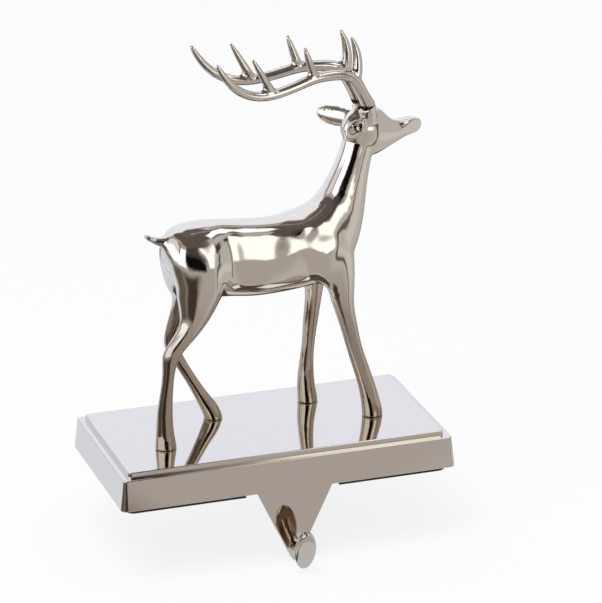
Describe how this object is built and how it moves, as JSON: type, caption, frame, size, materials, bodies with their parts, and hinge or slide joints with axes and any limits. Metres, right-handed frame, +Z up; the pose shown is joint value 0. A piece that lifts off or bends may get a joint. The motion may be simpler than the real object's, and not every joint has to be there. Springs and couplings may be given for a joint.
{
  "type": "stocking holder",
  "caption": "Mantel stocking holder: a standing stag on a stepped, weighted base, with a pointed tongue and an oval-ended hook that hang in front of the shelf.",
  "frame": {"origin": "middle of the foam pad's underside, where it rests on the shelf", "axes": "+Z up; +X along the shelf, the way the stag faces; -Y to the front, where the hook hangs"},
  "size_m": [0.165, 0.1015, 0.2415],
  "materials": {
    "polished_nickel": "mirror-polished nickel plate on cast aluminium",
    "plain_steel": "plain zinc-plated steel",
    "black_foam": "matt closed-cell foam"
  },
  "bodies": {
    "root": {"base_casting": "polished_nickel", "ballast_plate": "plain_steel", "ballast_screws": "plain_steel", "foam_pad": "black_foam", "stag_casting": "polished_nickel", "hoof_screws": "plain_steel", "antler_left": "polished_nickel", "antler_right": "polished_nickel"}
  },
  "joints": []
}
